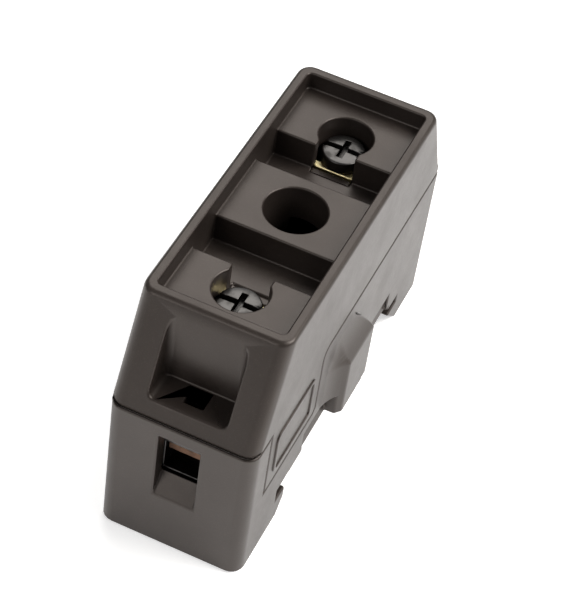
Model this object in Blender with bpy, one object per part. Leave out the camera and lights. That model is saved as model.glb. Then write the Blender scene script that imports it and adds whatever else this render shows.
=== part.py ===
"""Single-pole cartridge fuse holder: a plug-in carrier with its fuse link, and the base it plugs into.

Everything is in metres with +Z up. X is across the holder, Y along it, and the underside of the feet is Z = 0.
"""
import math

import bmesh
import bpy
from mathutils import Matrix, Vector

MM = 0.001

# Overall sizes
BODY_WIDTH = 27.5 * MM
BODY_LENGTH = 84.5 * MM
BODY_HEIGHT = 51.0 * MM
SEAM_HEIGHT = 31.0 * MM
END_SLOPE_RUN = 9.2 * MM
CORNER_RADIUS = 2.6 * MM
EDGE_RADIUS = 0.8 * MM
END_LIP_RADIUS = 0.9 * MM
FOOT_EDGE_RADIUS = 0.5 * MM

# Clearances between separate pieces, and how far a cutting shape runs past the surface it opens
SEAM_GAP = 0.3 * MM
FIT_GAP = 0.3 * MM
OVERCUT = 1.0 * MM
ROOT = 0.5 * MM

# Walls
SIDE_WALL = 2.2 * MM
BASE_FLOOR_TOP = 13.5 * MM
DECK_THICKNESS = 1.5 * MM
RIB_HEIGHT = 3.5 * MM
RIB_THICKNESS = 1.6 * MM
RIB_SETBACK = 2.0 * MM
SOCKET_WALL = 2.2 * MM

# Carrier top
RIM_WIDTH = 2.1 * MM
PAD_DEPTH = 3.5 * MM
CHANNEL_DEPTH = 9.2 * MM
MID_PAD_HALF_LENGTH = 8.25 * MM
FUSE_SCREW_SPACING = 44.5 * MM
SCREW_HOLE_DIAMETER = 10.0 * MM
MID_HOLE_DIAMETER = 11.4 * MM
MID_HOLE_FLOOR = 36.0 * MM
MID_BOSS_FLOOR = 1.4 * MM
NOTCH_WIDTH = 7.6 * MM
GUIDE_HALF_LENGTH = 3.6 * MM
TRAY_CORNER = 0.9 * MM
CARRIER_END_ROOM = 2.2 * MM
SEAT_WALL = 0.8 * MM
SEAT_STEP = 0.4 * MM

# Finger recess in each end of the carrier
RECESS_WIDTH = 14.6 * MM
RECESS_CORNER = 1.3 * MM
RECESS_LEDGE = 34.3 * MM
RECESS_SETBACK = 8.1 * MM
PROBE_SLOT_WIDTH = 3.4 * MM
PROBE_SLOT_START = 0.6 * MM
PROBE_SLOT_END = 4.2 * MM

# Side skirts of the carrier
SKIRT_BOTTOM = 15.9 * MM
SKIRT_START = 35.0 * MM
SKIRT_END = 13.5 * MM
SKIRT_FILLET = 2.4 * MM
SKIRT_THICKNESS = 2.0 * MM
SKIRT_INNER_GAP = 0.4 * MM
SKIRT_CORNER = 1.0 * MM

# Rail channel in the underside of the base
RAIL_CEILING = 8.1 * MM
RAIL_WIDTH = 35.0 * MM
RAIL_THICKNESS = 1.0 * MM
NEAR_HOOK_TIP = 23.5 * MM
NEAR_SLOT_END = 27.6 * MM
NEAR_HOOK_CHAMFER = 3.0 * MM
HOOK_NOSE_BOTTOM = 2.8 * MM
HOOK_SLOT_BOTTOM = 5.3 * MM
SLOT_RELIEF = 0.2 * MM
LANDING_INSET = 0.5 * MM
FAR_FOOT_FACE = 23.9 * MM
FAR_FOOT_CHAMFER = 6.1 * MM
FAR_SLOT_END = 28.7 * MM
FAR_SLOT_DROP = 0.7 * MM
FAR_SLOT_HEIGHT = 1.9 * MM
FAR_HOOK_STEP = 1.0 * MM
FAR_HOOK_FLAT = 0.6 * MM
RELIEF_HEIGHT = 4.9 * MM
RELIEF_LENGTH = 11.0 * MM
RELIEF_MARGIN = 1.3 * MM
RELIEF_DEPTH = 1.8 * MM
RELIEF_LIP_DEPTH = 0.3 * MM

# Side lug and its socket, which key neighbouring holders together
LUG_PROUD = 2.6 * MM
LUG_START = 4.8 * MM
LUG_END = 6.3 * MM
LUG_TOP = 21.2 * MM
LUG_ROOT = 0.1 * MM
LUG_SWEEP = 2.2 * MM

# Wire entries and terminal chambers
WIRE_ENTRY_WIDTH = 7.8 * MM
WIRE_ENTRY_BOTTOM = 12.6 * MM
WIRE_ENTRY_TOP = 27.9 * MM
WIRE_RAMP_RISE = 3.7 * MM
END_WALL = 3.3 * MM
CHAMBER_FLOOR = 14.7 * MM

# Fuse link
BARREL_DIAMETER = 13.4 * MM
CAP_DIAMETER = 14.2 * MM
CAP_LENGTH = 6.5 * MM
BARREL_BORE = 8.6 * MM
BARREL_NECK_DEPTH = 0.9 * MM
CAP_END_WALL = 0.6 * MM
CAP_EDGE = 0.5 * MM
ELEMENT_WIDTH = 3.2 * MM
ELEMENT_THICKNESS = 0.2 * MM
ELEMENT_INSET = 2.2 * MM
ELEMENT_NOTCH_RADIUS = 1.1 * MM
ELEMENT_NOTCH_PITCH = 4.5 * MM
TAG_FOOT_DROP = 1.5 * MM
TAG_THICKNESS = 1.2 * MM
TAG_WIDTH = 8.0 * MM
TAG_END_MARGIN = 4.75 * MM
TAG_REACH = 5.25 * MM

# Current path in carrier and base
BLOCK_WIDTH = 9.6 * MM
BLOCK_HEIGHT = 7.9 * MM
BLADE_THICKNESS = 1.8 * MM
BLADE_WIDTH = 8.0 * MM
BLADE_BOTTOM = 17.0 * MM
BLADE_POINT = 0.6 * MM
LEAF_THICKNESS = 1.2 * MM
JAW_WIDTH = 8.0 * MM
OUTER_LEAF_TOP = 26.5 * MM
INNER_LEAF_TOP = 24.4 * MM
LEAD_IN = 0.5 * MM
LEAD_IN_HEIGHT = 1.3 * MM
BAND_GAP = 0.2 * MM
BAND_THICKNESS = 0.6 * MM
BAND_BOTTOM = 16.2 * MM
BAND_HEIGHT = 3.4 * MM
STRIP_THICKNESS = 1.5 * MM
STRIP_WIDTH = 7.0 * MM
STRIP_BOTTOM = 21.0 * MM

# Screws
FUSE_SCREW_SHANK = 4.0 * MM
FUSE_SCREW_HEAD = 8.0 * MM
FUSE_HEAD_HEIGHT = 2.6 * MM
NUT_SIZE = 7.0 * MM
NUT_HEIGHT = 3.2 * MM
NUT_TRAVEL = 2.1 * MM
SHANK_CLEARANCE = 0.25 * MM
THREAD_CLEARANCE = 0.15 * MM
SCREW_POINT = 0.4 * MM
SCREW_TIP_GAP = 0.2 * MM
HEAD_CROWN = 0.35 * MM
HEAD_EDGE = 0.3 * MM
DRIVER_SLOT_WIDTH = 1.1 * MM
CLAMP_SCREW_SHANK = 5.0 * MM
CLAMP_SCREW_HEAD = 6.6 * MM
CLAMP_HEAD_HEIGHT = 2.2 * MM

# Clamp cage
CAGE_WIDTH = 10.4 * MM
CAGE_LENGTH = 6.2 * MM
CAGE_WALL = 1.3 * MM
CAGE_CORNER = 0.6 * MM
CAGE_TOP_THICKNESS = 1.8 * MM
CAGE_TRAVEL = 3.6 * MM

# Rail clip
CLIP_HALF_WIDTH = 6.0 * MM
CLIP_NOSE_HALF_WIDTH = 8.0 * MM
CLIP_BOTTOM = 2.5 * MM
CLIP_HOOK_DEPTH = 2.4 * MM
CLIP_NOSE_LENGTH = 11.0 * MM
CLIP_STEP_GAP = 0.3 * MM
CLIP_BAY_DEPTH = 0.4 * MM
SPRING_RADIUS = 1.35 * MM
SPRING_WIRE = 0.22 * MM
SPRING_TURNS = 5
SPRING_LENGTH = 8.6 * MM
POST_LENGTH = 2.1 * MM
CLIP_NOSE_DROP = 1.0 * MM
CLIP_NOSE_EDGE = 1.2 * MM
CLIP_NOSE_RAKE = 3.2 * MM
CLIP_MOUTH_LENGTH = 5.5 * MM
CLIP_TONGUE_INSET = 4.6 * MM
CLIP_SLOT_WIDTH = 4.4 * MM
CLIP_SLOT_LENGTH = 1.4 * MM
CLIP_SLOT_INSET = 6.8 * MM

# Where the mounting rail sits, and the clip that hooks its far edge
RAIL_FAR_EDGE = RAIL_WIDTH - NEAR_SLOT_END
CLIP_TOP = RAIL_CEILING - RAIL_THICKNESS - 0.1 * MM
CLIP_NOSE_TIP = RAIL_FAR_EDGE - CLIP_HOOK_DEPTH
SPRING_END = FAR_FOOT_FACE - 3.0 * FIT_GAP
SPRING_START = SPRING_END - SPRING_LENGTH
SPRING_HEIGHT = RAIL_CEILING + SPRING_RADIUS + SPRING_WIRE + CLIP_BAY_DEPTH

# The lug stands out on one side only, so the body sits off the middle of the bounding box by half of it
FRAME_SHIFT = Vector((-LUG_PROUD / 2.0, 0.0, 0.0))

HALF_WIDTH = BODY_WIDTH / 2.0
HALF_LENGTH = BODY_LENGTH / 2.0
BASE_TOP = SEAM_HEIGHT - SEAM_GAP / 2.0
CARRIER_BOTTOM = SEAM_HEIGHT + SEAM_GAP / 2.0
PAD_TOP = BODY_HEIGHT - PAD_DEPTH
CHANNEL_FLOOR = BODY_HEIGHT - CHANNEL_DEPTH
DECK_UNDERSIDE = CHANNEL_FLOOR - DECK_THICKNESS
CAVITY_HALF_WIDTH = HALF_WIDTH - SIDE_WALL
SCREW_Y = FUSE_SCREW_SPACING / 2.0
LINK_OVERALL_LENGTH = FUSE_SCREW_SPACING + 2.0 * TAG_END_MARGIN
LINK_BODY_LENGTH = FUSE_SCREW_SPACING - 2.0 * TAG_REACH
CHANNEL_OUTER = SCREW_Y - SCREW_HOLE_DIAMETER / 2.0
BLOCK_TOP = CHANNEL_FLOOR - FIT_GAP / 2.0
BLOCK_BOTTOM = BLOCK_TOP - BLOCK_HEIGHT
BLOCK_INNER = CHANNEL_OUTER + SEAT_WALL + FIT_GAP
TAG_TOP = BLOCK_BOTTOM - FIT_GAP
TAG_BOTTOM = TAG_TOP - TAG_THICKNESS
LINK_AXIS_Z = TAG_TOP - CAP_DIAMETER / 2.0 + 0.2 * MM
NUT_TOP = TAG_BOTTOM - FIT_GAP
BLADE_INNER = LINK_OVERALL_LENGTH / 2.0 + FIT_GAP
BLADE_OUTER = BLADE_INNER + BLADE_THICKNESS
INNER_LEAF_FACE = BLADE_INNER - FIT_GAP
OUTER_LEAF_FACE = BLADE_OUTER + FIT_GAP
JAW_OUTER = OUTER_LEAF_FACE + LEAF_THICKNESS
CAVITY_END = JAW_OUTER + OVERCUT
CARRIER_CAVITY_END = BLADE_OUTER + CARRIER_END_ROOM
CHAMBER_END = HALF_LENGTH - END_WALL
CHAMBER_HALF_WIDTH = CAGE_WIDTH / 2.0 + FIT_GAP
CLAMP_Y = CHAMBER_END - FIT_GAP - max(CAGE_LENGTH, CLAMP_SCREW_HEAD) / 2.0
STRIP_TOP = STRIP_BOTTOM + STRIP_THICKNESS
CAGE_PLATE_BOTTOM = STRIP_TOP + FIT_GAP
CAGE_BOTTOM = CHAMBER_FLOOR + FIT_GAP
CLAMP_HEAD_BOTTOM = CAGE_PLATE_BOTTOM + CAGE_TOP_THICKNESS + CAGE_TRAVEL + SCREW_TIP_GAP


# Finishes: colour, roughness, metallic
FINISHES = {
    "black_thermoset": ((0.030, 0.027, 0.025, 1.0), 0.55, 0.0),
    "clip_nylon": ((0.020, 0.020, 0.022, 1.0), 0.45, 0.0),
    "brass": ((0.78, 0.60, 0.22, 1.0), 0.28, 1.0),
    "tinned_copper": ((0.72, 0.70, 0.66, 1.0), 0.30, 1.0),
    "copper": ((0.30, 0.17, 0.11, 1.0), 0.45, 1.0),
    "zinc_steel": ((0.62, 0.62, 0.60, 1.0), 0.32, 1.0),
    "dark_steel": ((0.16, 0.16, 0.17, 1.0), 0.42, 1.0),
    "spring_steel": ((0.45, 0.46, 0.48, 1.0), 0.25, 1.0),
    "ceramic": ((0.80, 0.79, 0.74, 1.0), 0.35, 0.0),
    "silver": ((0.85, 0.85, 0.84, 1.0), 0.20, 1.0),
}


def clear_scene():
    for obj in list(bpy.data.objects):
        bpy.data.objects.remove(obj, do_unlink=True)


def material_for(name, finish):
    colour, roughness, metallic = FINISHES[finish]
    material = bpy.data.materials.new(name)
    material.use_nodes = True
    shader = material.node_tree.nodes["Principled BSDF"]
    shader.inputs["Base Color"].default_value = colour
    shader.inputs["Roughness"].default_value = roughness
    shader.inputs["Metallic"].default_value = metallic
    material.diffuse_color = colour
    return material


def solid_from_bmesh(name, bm):
    bmesh.ops.recalc_face_normals(bm, faces=bm.faces)
    mesh = bpy.data.meshes.new(name)
    bm.to_mesh(mesh)
    bm.free()
    obj = bpy.data.objects.new(name, mesh)
    bpy.context.scene.collection.objects.link(obj)
    return obj


def box(name, low, high):
    bm = bmesh.new()
    bmesh.ops.create_cube(bm, size=1.0)
    size = Vector(high) - Vector(low)
    middle = (Vector(high) + Vector(low)) / 2.0
    bmesh.ops.scale(bm, vec=size, verts=bm.verts)
    bmesh.ops.translate(bm, vec=middle, verts=bm.verts)
    return solid_from_bmesh(name, bm)


def upright_cylinder(name, x, y, low_z, high_z, radius, segments=40):
    bm = bmesh.new()
    height = high_z - low_z
    place = Matrix.Translation((x, y, (low_z + high_z) / 2.0))
    bmesh.ops.create_cone(bm, cap_ends=True, segments=segments, radius1=radius, radius2=radius,
                          depth=height, matrix=place)
    return solid_from_bmesh(name, bm)


def lengthwise_cylinder(name, low_y, high_y, z, radius, segments=48):
    bm = bmesh.new()
    turn = Matrix.Rotation(math.pi / 2.0, 4, "X")
    place = Matrix.Translation((0.0, (low_y + high_y) / 2.0, z)) @ turn
    bmesh.ops.create_cone(bm, cap_ends=True, segments=segments, radius1=radius, radius2=radius,
                          depth=high_y - low_y, matrix=place)
    return solid_from_bmesh(name, bm)


def side_profile(name, outline, low_x, high_x):
    """A solid with the given (y, z) outline, running across from low_x to high_x."""
    bm = bmesh.new()
    near = [bm.verts.new((low_x, y, z)) for y, z in outline]
    far = [bm.verts.new((high_x, y, z)) for y, z in outline]
    bm.faces.new(near)
    bm.faces.new(list(reversed(far)))
    count = len(outline)
    for index in range(count):
        after = (index + 1) % count
        bm.faces.new((near[index], far[index], far[after], near[after]))
    return solid_from_bmesh(name, bm)


def cross_profile(name, outline, low_y, high_y):
    """A solid with the given (x, z) outline, running along from low_y to high_y."""
    bm = bmesh.new()
    near = [bm.verts.new((x, low_y, z)) for x, z in outline]
    far = [bm.verts.new((x, high_y, z)) for x, z in outline]
    bm.faces.new(near)
    bm.faces.new(list(reversed(far)))
    count = len(outline)
    for index in range(count):
        after = (index + 1) % count
        bm.faces.new((near[index], far[index], far[after], near[after]))
    return solid_from_bmesh(name, bm)


def apply_modifiers(obj):
    depsgraph = bpy.context.evaluated_depsgraph_get()
    finished = bpy.data.meshes.new_from_object(obj.evaluated_get(depsgraph))
    obj.modifiers.clear()
    old = obj.data
    obj.data = finished
    bpy.data.meshes.remove(old)


def combine(obj, others, operation):
    """Joins or cuts each of the others into obj, one at a time, and removes them."""
    for other in others:
        other.hide_render = True
        other.display_type = "WIRE"
        modifier = obj.modifiers.new("combine", "BOOLEAN")
        modifier.operation = operation
        modifier.solver = "EXACT"
        modifier.object = other
        apply_modifiers(obj)
        bpy.data.objects.remove(other, do_unlink=True)
    return obj


def cut(obj, *others):
    return combine(obj, others, "DIFFERENCE")


def join(obj, *others):
    return combine(obj, others, "UNION")


def soften(obj, width, segments=2, angle=40.0):
    modifier = obj.modifiers.new("soften", "BEVEL")
    modifier.width = width
    modifier.segments = segments
    modifier.limit_method = "ANGLE"
    modifier.angle_limit = math.radians(angle)
    modifier.use_clamp_overlap = True
    apply_modifiers(obj)
    return obj


def is_upright(a, b):
    """True for an edge that rises rather than running level."""
    return abs(a.z - b.z) > MM


def round_edges(obj, radius, segments, chosen):
    """Rounds the edges for which chosen(first_point, second_point) is true."""
    bm = bmesh.new()
    bm.from_mesh(obj.data)
    edges = [edge for edge in bm.edges if chosen(edge.verts[0].co, edge.verts[1].co)]
    bmesh.ops.bevel(bm, geom=edges, offset=radius, offset_type="OFFSET", segments=segments,
                    profile=0.5, affect="EDGES", clamp_overlap=True)
    bmesh.ops.recalc_face_normals(bm, faces=bm.faces)
    bm.to_mesh(obj.data)
    bm.free()
    return obj


def finish(obj, finish_name, smooth_angle=35.0):
    bm = bmesh.new()
    bm.from_mesh(obj.data)
    bmesh.ops.remove_doubles(bm, verts=bm.verts, dist=0.00001)
    bmesh.ops.recalc_face_normals(bm, faces=bm.faces)
    bm.to_mesh(obj.data)
    bm.free()
    obj.data.shade_smooth()
    obj.data.set_sharp_from_angle(angle=math.radians(smooth_angle))
    obj.data.materials.clear()
    obj.data.materials.append(material_for(obj.name + "_finish", finish_name))
    return obj


def set_origin(obj, point):
    """Moves the object's origin to point without moving its shape."""
    target = Vector(point)
    obj.data.transform(Matrix.Translation(-target))
    obj.location = target
    return obj


def span(side, first, second):
    """The low and high y of a stretch given for the far end, at the far end (side 1) or the near (side -1)."""
    return sorted((side * first, side * second))


def end_box(name, side, half_width, y_first, y_second, low_z, high_z):
    low_y, high_y = span(side, y_first, y_second)
    return box(name, (-half_width, low_y, low_z), (half_width, high_y, high_z))


def skirt_outline(grow, top):
    """The (y, z) outline of a carrier skirt, made larger all round by grow."""
    start = -SKIRT_START - grow
    end = -SKIRT_END + grow
    bottom = SKIRT_BOTTOM - grow
    points = [(start, top), (start, bottom), (end - SKIRT_CORNER, bottom), (end, bottom + SKIRT_CORNER)]
    radius = SKIRT_FILLET - grow
    level = CARRIER_BOTTOM - grow
    for step in range(7):
        turn = math.pi / 2.0 * step / 6.0
        y = end + radius * (1.0 - math.cos(turn))
        z = level - radius * (1.0 - math.sin(turn))
        points.append((y, z))
    points.append((end + radius, top))
    return points


def rail_channel_outline():
    """The (y, z) outline of the space for the mounting rail, with a hook slot at each end."""
    below = -OVERCUT
    slot_top = RAIL_CEILING - FAR_SLOT_DROP
    slot_low = slot_top - FAR_SLOT_HEIGHT
    landing_start = -NEAR_HOOK_TIP + LANDING_INSET
    landing_end = CLIP_NOSE_TIP - LANDING_INSET
    return [
        (-NEAR_HOOK_TIP - NEAR_HOOK_CHAMFER, below),
        (-NEAR_HOOK_TIP - NEAR_HOOK_CHAMFER, 0.0),
        (-NEAR_HOOK_TIP, HOOK_NOSE_BOTTOM),
        (-NEAR_HOOK_TIP, HOOK_SLOT_BOTTOM),
        (-NEAR_SLOT_END, HOOK_SLOT_BOTTOM),
        (-NEAR_SLOT_END, RAIL_CEILING + SLOT_RELIEF),
        (landing_start, RAIL_CEILING + SLOT_RELIEF),
        (landing_start, RAIL_CEILING),
        (landing_end, RAIL_CEILING),
        (landing_end, RAIL_CEILING + CLIP_BAY_DEPTH),
        (FAR_FOOT_FACE, RAIL_CEILING + CLIP_BAY_DEPTH),
        (FAR_FOOT_FACE, slot_top),
        (FAR_SLOT_END, slot_top),
        (FAR_SLOT_END, slot_low),
        (FAR_FOOT_FACE + FAR_HOOK_STEP, slot_low),
        (FAR_FOOT_FACE + FAR_HOOK_STEP, slot_low - FAR_HOOK_FLAT),
        (FAR_FOOT_FACE + FAR_FOOT_CHAMFER, 0.0),
        (FAR_FOOT_FACE + FAR_FOOT_CHAMFER, below),
    ]


def lug_section(level):
    """The (x, y) section of the side lug at a height, hollow-ground towards the near end and the top."""
    wall = HALF_WIDTH - OVERCUT
    fade = max(0.0, (level - LUG_TOP) / (BASE_TOP - LUG_TOP))
    root = HALF_WIDTH - LUG_ROOT
    proud = (HALF_WIDTH + LUG_PROUD - root) * (1.0 - fade) ** 2.4
    face = root + proud
    far = LUG_END - (LUG_END + LUG_SWEEP) * fade ** 1.3
    near = -LUG_START
    sweep = -SKIRT_END + OVERCUT
    points = [(wall, far), (wall, sweep)]
    for step in range(9):
        along = step / 8.0
        y = sweep + (near - sweep) * along
        x = root + proud * along ** 2.6
        points.append((x, y))
    points.append((face, (near + far) / 2.0))
    points.append((face, far))
    return points


def lug():
    levels = [RAIL_CEILING]
    steps = 12
    for index in range(steps + 1):
        levels.append(LUG_TOP + (BASE_TOP - LUG_TOP) * index / steps)
    bm = bmesh.new()
    rings = []
    for level in levels:
        rings.append([bm.verts.new((x, y, level)) for x, y in lug_section(level)])
    bm.faces.new(rings[0])
    bm.faces.new(list(reversed(rings[-1])))
    count = len(rings[0])
    for lower, upper in zip(rings, rings[1:]):
        for index in range(count):
            after = (index + 1) % count
            bm.faces.new((lower[index], upper[index], upper[after], lower[after]))
    bmesh.ops.triangulate(bm, faces=bm.faces)
    return solid_from_bmesh("lug", bm)


def base_blank():
    blank = box("base_moulding", (-HALF_WIDTH, -HALF_LENGTH, 0.0), (HALF_WIDTH, HALF_LENGTH, BASE_TOP))
    round_edges(blank, CORNER_RADIUS, 5, is_upright)
    round_edges(blank, FOOT_EDGE_RADIUS, 2, lambda a, b: a.z < 0.0001 and b.z < 0.0001)
    return blank


def cut_cavity(base):
    """Hollows the base, leaving low ribs beside the jaws and thickening behind the lug socket."""
    top = BASE_TOP + OVERCUT
    cavity = box("cavity", (-CAVITY_HALF_WIDTH, -CAVITY_END, BASE_FLOOR_TOP),
                 (CAVITY_HALF_WIDTH, CAVITY_END, top))
    cut(base, cavity)
    rib_outer = INNER_LEAF_FACE - LEAF_THICKNESS - RIB_SETBACK
    rib_inner = rib_outer - RIB_THICKNESS
    for side in (-1, 1):
        rib = end_box("rib", side, CAVITY_HALF_WIDTH + ROOT, rib_inner, rib_outer,
                      BASE_FLOOR_TOP - ROOT, BASE_FLOOR_TOP + RIB_HEIGHT)
        join(base, rib)
    boss_face = -HALF_WIDTH + LUG_PROUD + FIT_GAP + SOCKET_WALL
    boss = box("boss", (-CAVITY_HALF_WIDTH - ROOT, -LUG_START - SOCKET_WALL, BASE_FLOOR_TOP - ROOT),
               (boss_face, LUG_END + SOCKET_WALL, LUG_TOP + SOCKET_WALL))
    join(base, boss)


def cut_terminals(base):
    top = BASE_TOP + OVERCUT
    for side in (-1, 1):
        chamber = end_box("chamber", side, CHAMBER_HALF_WIDTH, CAVITY_END - OVERCUT, CHAMBER_END,
                          CHAMBER_FLOOR, top)
        cut(base, chamber)
        outer = HALF_LENGTH + OVERCUT
        inside = CHAMBER_END - OVERCUT
        slope = WIRE_RAMP_RISE / END_WALL
        outline = [
            (side * outer, WIRE_ENTRY_BOTTOM - slope * OVERCUT),
            (side * outer, WIRE_ENTRY_TOP),
            (side * inside, WIRE_ENTRY_TOP),
            (side * inside, WIRE_ENTRY_BOTTOM + WIRE_RAMP_RISE),
            (side * CHAMBER_END, WIRE_ENTRY_BOTTOM + WIRE_RAMP_RISE),
        ]
        entry = side_profile("entry", outline, -WIRE_ENTRY_WIDTH / 2.0, WIRE_ENTRY_WIDTH / 2.0)
        cut(base, entry)


def cut_skirt_room(base):
    outline = skirt_outline(SEAM_GAP, BASE_TOP + 2.0 * OVERCUT)
    inner = HALF_WIDTH - SKIRT_THICKNESS - SKIRT_INNER_GAP
    outer = HALF_WIDTH + LUG_PROUD + OVERCUT
    cut(base, side_profile("room", outline, inner, outer))
    cut(base, side_profile("room", outline, -outer, -inner))


def cut_underside(base):
    reach = HALF_WIDTH + LUG_PROUD + OVERCUT
    cut(base, side_profile("channel", rail_channel_outline(), -reach, reach))
    low = RAIL_CEILING - OVERCUT
    high = RAIL_CEILING + RELIEF_HEIGHT
    lean = (RELIEF_DEPTH - RELIEF_LIP_DEPTH) / RELIEF_HEIGHT
    low_x = HALF_WIDTH - RELIEF_LIP_DEPTH + lean * OVERCUT
    section = [(low_x, low), (reach, low), (reach, high), (HALF_WIDTH - RELIEF_DEPTH, high)]
    mirrored = [(-x, z) for x, z in section]
    for end in (-LUG_START - RELIEF_MARGIN, FAR_FOOT_FACE - RELIEF_MARGIN):
        cut(base, cross_profile("relief", section, end - RELIEF_LENGTH, end))
        cut(base, cross_profile("relief", mirrored, end - RELIEF_LENGTH, end))
    socket_floor = -HALF_WIDTH + LUG_PROUD + FIT_GAP
    cut(base, box("socket", (-reach, -LUG_START - FIT_GAP, RAIL_CEILING - OVERCUT),
                  (socket_floor, LUG_END + FIT_GAP, LUG_TOP + FIT_GAP)))


def cut_clip_guide(base):
    """Makes room for the clip: a way through the far foot, a mouth for its tongue, and a spring pocket."""
    half = CLIP_HALF_WIDTH + FIT_GAP
    top = CLIP_TOP + FIT_GAP
    end = HALF_LENGTH + OVERCUT
    cut(base, box("guide", (-half, FAR_FOOT_FACE - OVERCUT, CLIP_BOTTOM - FIT_GAP), (half, end, top)))
    cut(base, box("mouth", (-half, HALF_LENGTH - CLIP_MOUTH_LENGTH, -OVERCUT), (half, end, top - ROOT)))
    pocket_half = SPRING_RADIUS + SPRING_WIRE + ROOT
    cut(base, box("pocket", (-pocket_half, SPRING_START - POST_LENGTH - FIT_GAP, RAIL_CEILING - OVERCUT),
                  (pocket_half, SPRING_END + FIT_GAP, SPRING_HEIGHT + pocket_half)))


def build_base():
    base = base_blank()
    join(base, lug())
    cut_cavity(base)
    cut_terminals(base)
    cut_skirt_room(base)
    cut_underside(base)
    cut_clip_guide(base)
    return finish(base, "black_thermoset")


def carrier_blank():
    top_y = HALF_LENGTH - END_SLOPE_RUN
    outline = [(-HALF_LENGTH, CARRIER_BOTTOM), (HALF_LENGTH, CARRIER_BOTTOM),
               (top_y, BODY_HEIGHT), (-top_y, BODY_HEIGHT)]
    blank = side_profile("carrier_moulding", outline, -HALF_WIDTH, HALF_WIDTH)
    round_edges(blank, CORNER_RADIUS, 5, is_upright)
    round_edges(blank, EDGE_RADIUS, 3, lambda a, b: min(a.z, b.z) > BODY_HEIGHT - 0.0001)
    end_zone = HALF_LENGTH - 0.8 * CORNER_RADIUS
    round_edges(blank, END_LIP_RADIUS, 3,
                lambda a, b: max(a.z, b.z) < CARRIER_BOTTOM + 0.0001 and min(abs(a.y), abs(b.y)) > end_zone)
    return blank


def add_skirts(carrier):
    outline = skirt_outline(0.0, CARRIER_BOTTOM + 2.0 * OVERCUT)
    inner = HALF_WIDTH - SKIRT_THICKNESS
    join(carrier, side_profile("skirt", outline, inner, HALF_WIDTH))
    join(carrier, side_profile("skirt", outline, -HALF_WIDTH, -inner))


def cut_tray(carrier):
    half = HALF_WIDTH - RIM_WIDTH
    end = HALF_LENGTH - END_SLOPE_RUN - RIM_WIDTH
    above = BODY_HEIGHT + OVERCUT
    tray = box("tray", (-half, -end, PAD_TOP), (half, end, above))
    round_edges(tray, TRAY_CORNER, 3, is_upright)
    cut(carrier, tray)
    for side in (-1, 1):
        cut(carrier, end_box("channel", side, half, MID_PAD_HALF_LENGTH, CHANNEL_OUTER, CHANNEL_FLOOR, above))


def hollow_carrier(carrier):
    below = CARRIER_BOTTOM - OVERCUT
    cut(carrier, box("hollow", (-CAVITY_HALF_WIDTH, -CARRIER_CAVITY_END, below),
                     (CAVITY_HALF_WIDTH, CARRIER_CAVITY_END, DECK_UNDERSIDE)))
    boss = upright_cylinder("boss", 0.0, 0.0, MID_HOLE_FLOOR - MID_BOSS_FLOOR, DECK_UNDERSIDE + ROOT,
                            MID_HOLE_DIAMETER / 2.0 + RIB_THICKNESS)
    join(carrier, boss)
    guide_inner = BLOCK_WIDTH / 2.0 + 1.5 * FIT_GAP
    guide_outer = guide_inner + RIB_THICKNESS
    for side in (-1, 1):
        for hand in (-1, 1):
            low_x, high_x = sorted((hand * guide_inner, hand * guide_outer))
            low_y, high_y = span(side, SCREW_Y - GUIDE_HALF_LENGTH, SCREW_Y + GUIDE_HALF_LENGTH)
            guide = box("guide", (low_x, low_y, NUT_TOP - NUT_HEIGHT - NUT_TRAVEL),
                        (high_x, high_y, DECK_UNDERSIDE + ROOT))
            join(carrier, guide)


def cut_screw_holes(carrier):
    seat_low = BLOCK_BOTTOM
    seat_high = BLOCK_TOP + FIT_GAP / 2.0
    grow = FIT_GAP
    for side in (-1, 1):
        low_y, high_y = span(side, BLOCK_INNER - grow, BLADE_OUTER + grow)
        half = BLOCK_WIDTH / 2.0 + grow
        cut(carrier, box("seat", (-half, low_y, seat_low), (half, high_y, seat_high)))
        hole_low = seat_high - SEAT_STEP
        cut(carrier, upright_cylinder("hole", 0.0, side * SCREW_Y, hole_low, PAD_TOP + OVERCUT,
                                      SCREW_HOLE_DIAMETER / 2.0))
        notch = end_box("notch", side, NOTCH_WIDTH / 2.0, CHANNEL_OUTER - OVERCUT, SCREW_Y,
                        hole_low, PAD_TOP + OVERCUT)
        cut(carrier, notch)
    cut(carrier, upright_cylinder("mid_hole", 0.0, 0.0, MID_HOLE_FLOOR, PAD_TOP + OVERCUT,
                                  MID_HOLE_DIAMETER / 2.0, segments=48))


def is_low_end_edge(a, b):
    """True for an edge that runs along Y at the level of the recess's ledge."""
    return abs(a.y - b.y) > MM and max(a.z, b.z) < RECESS_LEDGE + 0.01 * MM


def cut_finger_recesses(carrier):
    half = RECESS_WIDTH / 2.0
    wall = HALF_LENGTH - RECESS_SETBACK
    for side in (-1, 1):
        recess = end_box("recess", side, half, wall, HALF_LENGTH + OVERCUT, RECESS_LEDGE, BODY_HEIGHT + OVERCUT)
        round_edges(recess, RECESS_CORNER, 4,
                    lambda a, b: is_upright(a, b) or is_low_end_edge(a, b))
        cut(carrier, recess)
        slot = end_box("slot", side, PROBE_SLOT_WIDTH / 2.0, wall + PROBE_SLOT_START, wall + PROBE_SLOT_END,
                       CARRIER_BOTTOM - OVERCUT, RECESS_LEDGE + OVERCUT)
        cut(carrier, slot)


def build_carrier():
    carrier = carrier_blank()
    add_skirts(carrier)
    cut_tray(carrier)
    hollow_carrier(carrier)
    cut_screw_holes(carrier)
    cut_finger_recesses(carrier)
    return finish(carrier, "black_thermoset")


END_NAMES = {-1: "near", 1: "far"}


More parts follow.
